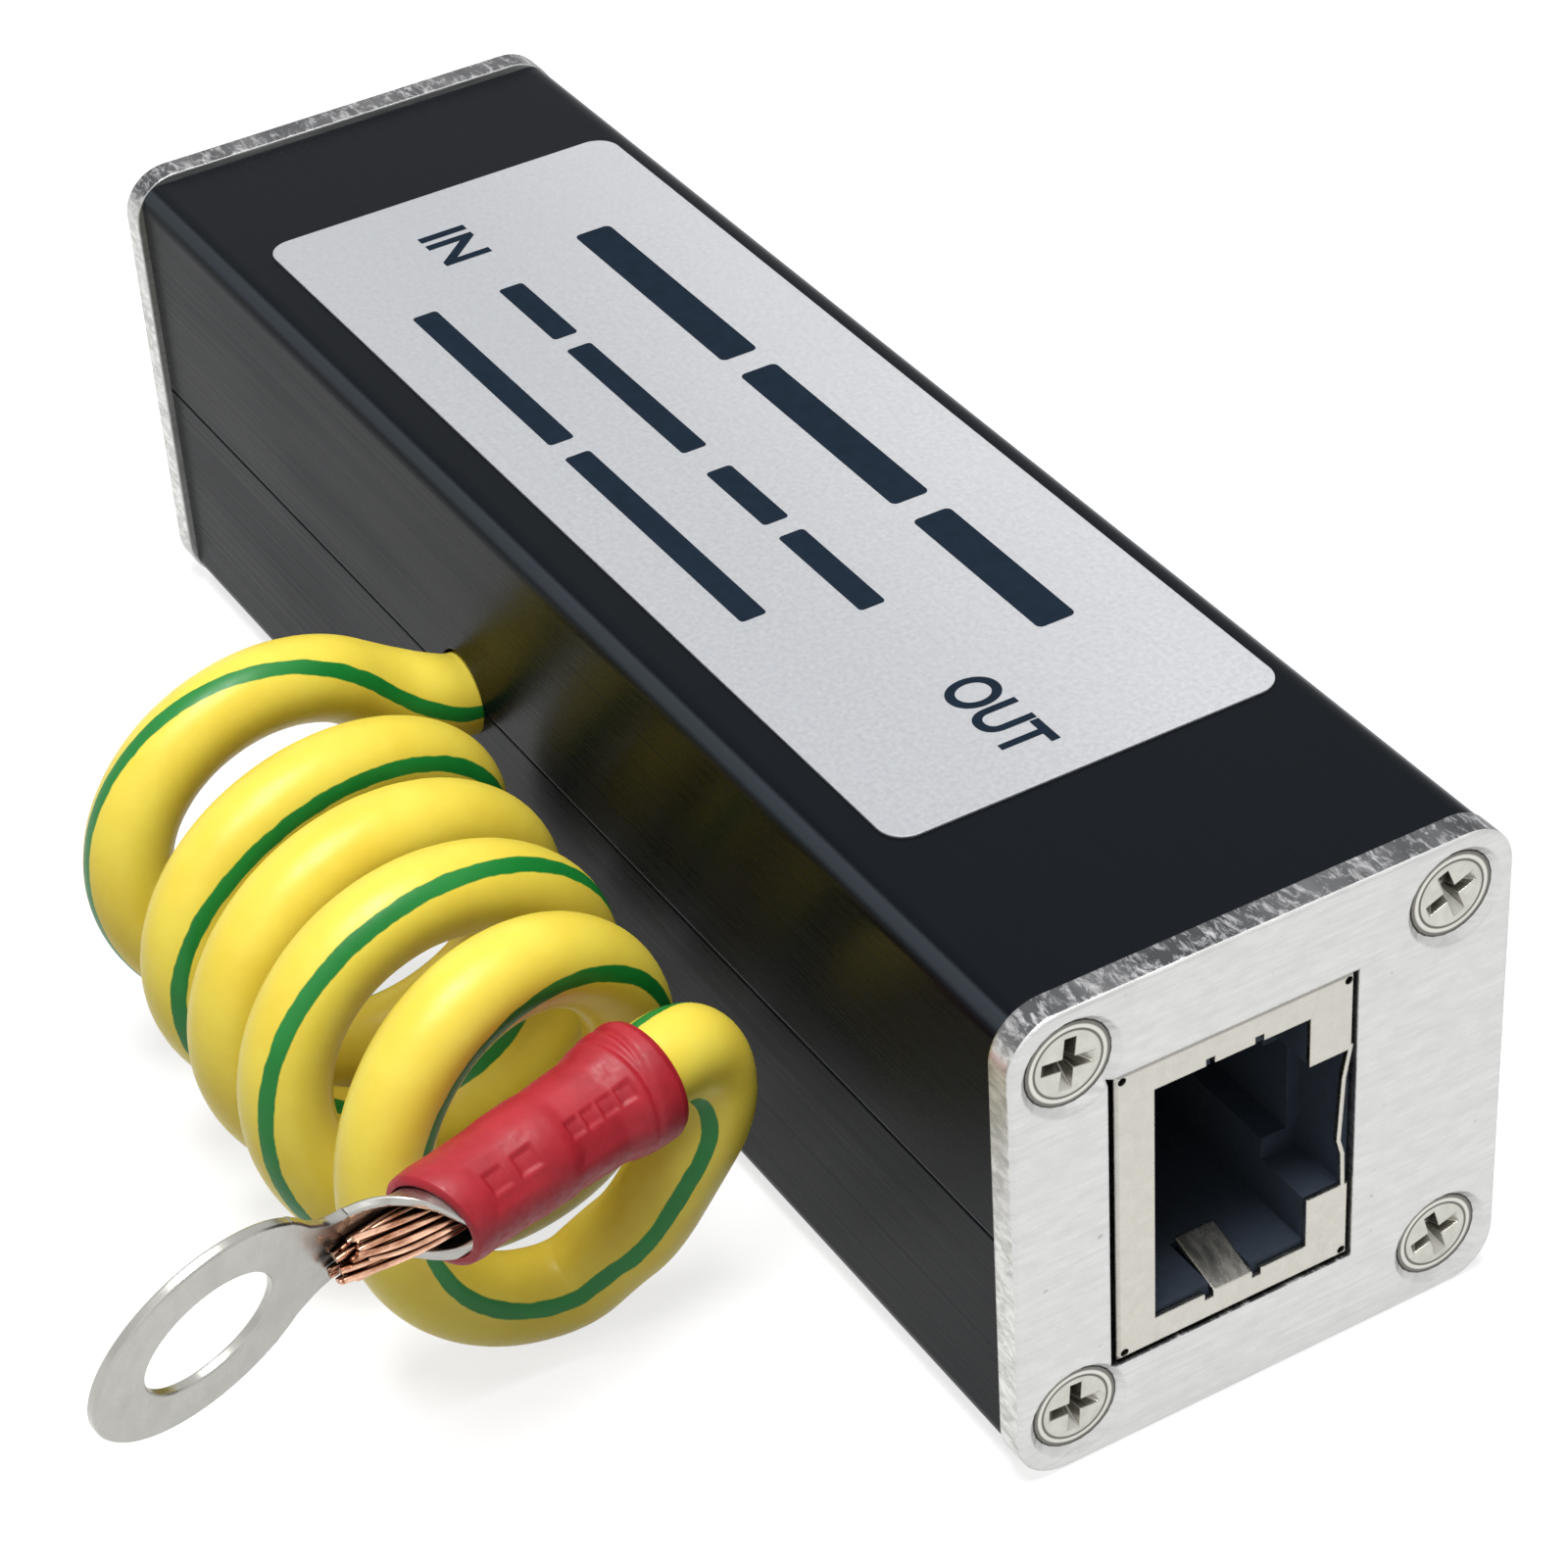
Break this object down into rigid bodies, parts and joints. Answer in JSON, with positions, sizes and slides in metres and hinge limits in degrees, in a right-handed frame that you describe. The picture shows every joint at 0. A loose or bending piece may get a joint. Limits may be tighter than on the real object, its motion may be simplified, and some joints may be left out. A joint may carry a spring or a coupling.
{
  "type": "ethernet surge protector",
  "caption": "Inline network surge protector: square black metal case, bare end plates with shielded jacks, coiled yellow and green ground wire with a ring terminal.",
  "frame": {"origin": "middle of the housing's underside, on the surface that it rests on", "axes": "+X from the IN end to the OUT end, -Y is the side of the ground wire, +Z is the label side"},
  "size_m": [0.085, 0.0604, 0.025],
  "materials": {
    "black_anodised": "black anodised, fine lines along the case",
    "brushed_plate": "bare, finely ground, with milled edges",
    "nickel_screw": "nickel plated",
    "tinned_sheet": "tinned",
    "black_plastic": "moulded",
    "gilt_contact": "gold plated",
    "green_board": "solder mask",
    "white_ceramic": "glazed",
    "chip_black": "coated",
    "silver_foil": "satin foil",
    "bare_copper": "bare copper",
    "solder": "bright solder",
    "yellow_sheath": "yellow with a green stripe, satin",
    "red_sleeve": "translucent vinyl",
    "tinned_terminal": "tinned copper"
  },
  "bodies": {
    "root": {"case_upper_half": "black_anodised", "case_lower_half": "black_anodised", "end_plate_out": "brushed_plate", "end_plate_in": "brushed_plate", "plate_screws_out": "nickel_screw", "plate_screws_in": "nickel_screw", "jack_shield_out": "tinned_sheet", "jack_shield_in": "tinned_sheet", "jack_housing_out": "black_plastic", "jack_housing_in": "black_plastic", "jack_contacts_out": "gilt_contact", "jack_contacts_in": "gilt_contact", "circuit_board": "green_board", "gas_tube_ceramics": "white_ceramic", "gas_tube_electrodes": "tinned_sheet", "bridge_rectifiers": "black_plastic", "clamp_diodes": "black_plastic", "line_resistors": "chip_black", "name_label": "silver_foil", "ground_wire_core": "bare_copper", "ground_solder_joint": "solder", "ground_wire_lead": "yellow_sheath", "ground_wire_coil": "yellow_sheath", "ground_wire_tail": "yellow_sheath", "terminal_sleeve": "red_sleeve", "ring_terminal": "tinned_terminal", "copper_strands": "bare_copper"}
  },
  "joints": []
}
